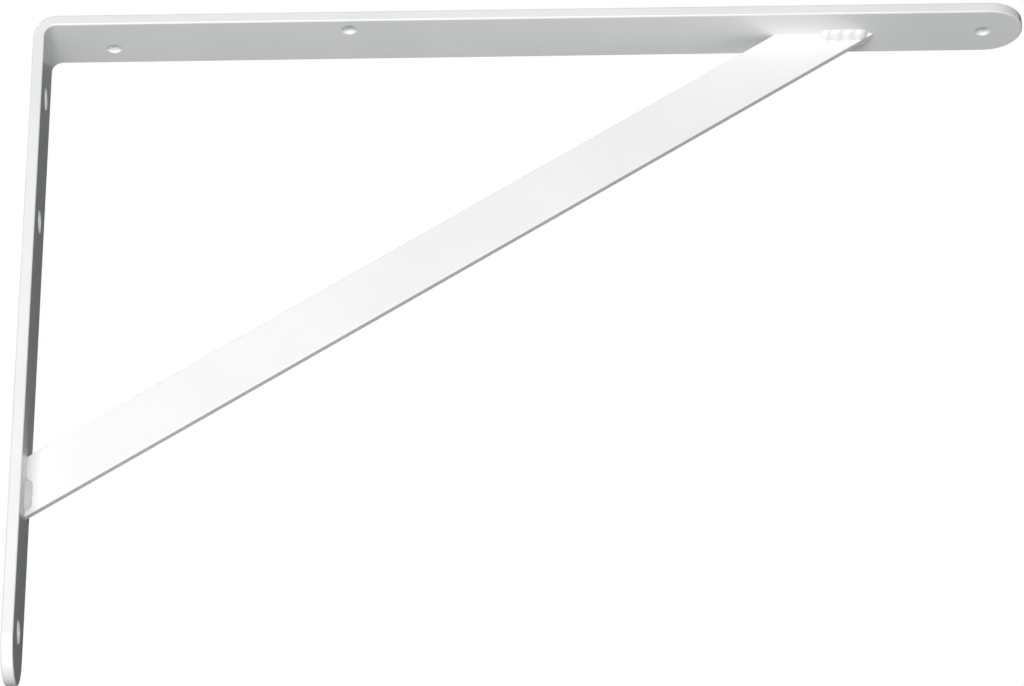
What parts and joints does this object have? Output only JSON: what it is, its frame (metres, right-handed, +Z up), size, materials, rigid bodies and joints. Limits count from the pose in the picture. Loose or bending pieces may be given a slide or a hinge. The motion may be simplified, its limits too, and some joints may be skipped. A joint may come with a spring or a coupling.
{
  "type": "gallows shelf bracket",
  "caption": "Steel shelf bracket: a flat bar bent to a right angle with round tips and screw holes, and a diagonal flat brace on edge welded across the corner.",
  "frame": {"origin": "centre of the top wall hole, on the back face of the leg, which lies on the wall", "axes": "+X out from the wall along the arm, +Y across the bar, +Z up to the shelf; the shelf lies on the plane z = 0.027 m"},
  "size_m": [0.35, 0.025, 0.25],
  "materials": {
    "bar_powder_coat": "white semi-gloss powder coat over bent mild steel bar",
    "brace_powder_coat": "white semi-gloss powder coat over flat mild steel bar",
    "weld_powder_coat": "white semi-gloss powder coat over rippled weld metal"
  },
  "bodies": {
    "root": {"angle_bar": "bar_powder_coat", "diagonal_brace": "brace_powder_coat", "arm_weld_front": "weld_powder_coat", "arm_weld_back": "weld_powder_coat", "leg_weld_front": "weld_powder_coat", "leg_weld_back": "weld_powder_coat"}
  },
  "joints": []
}
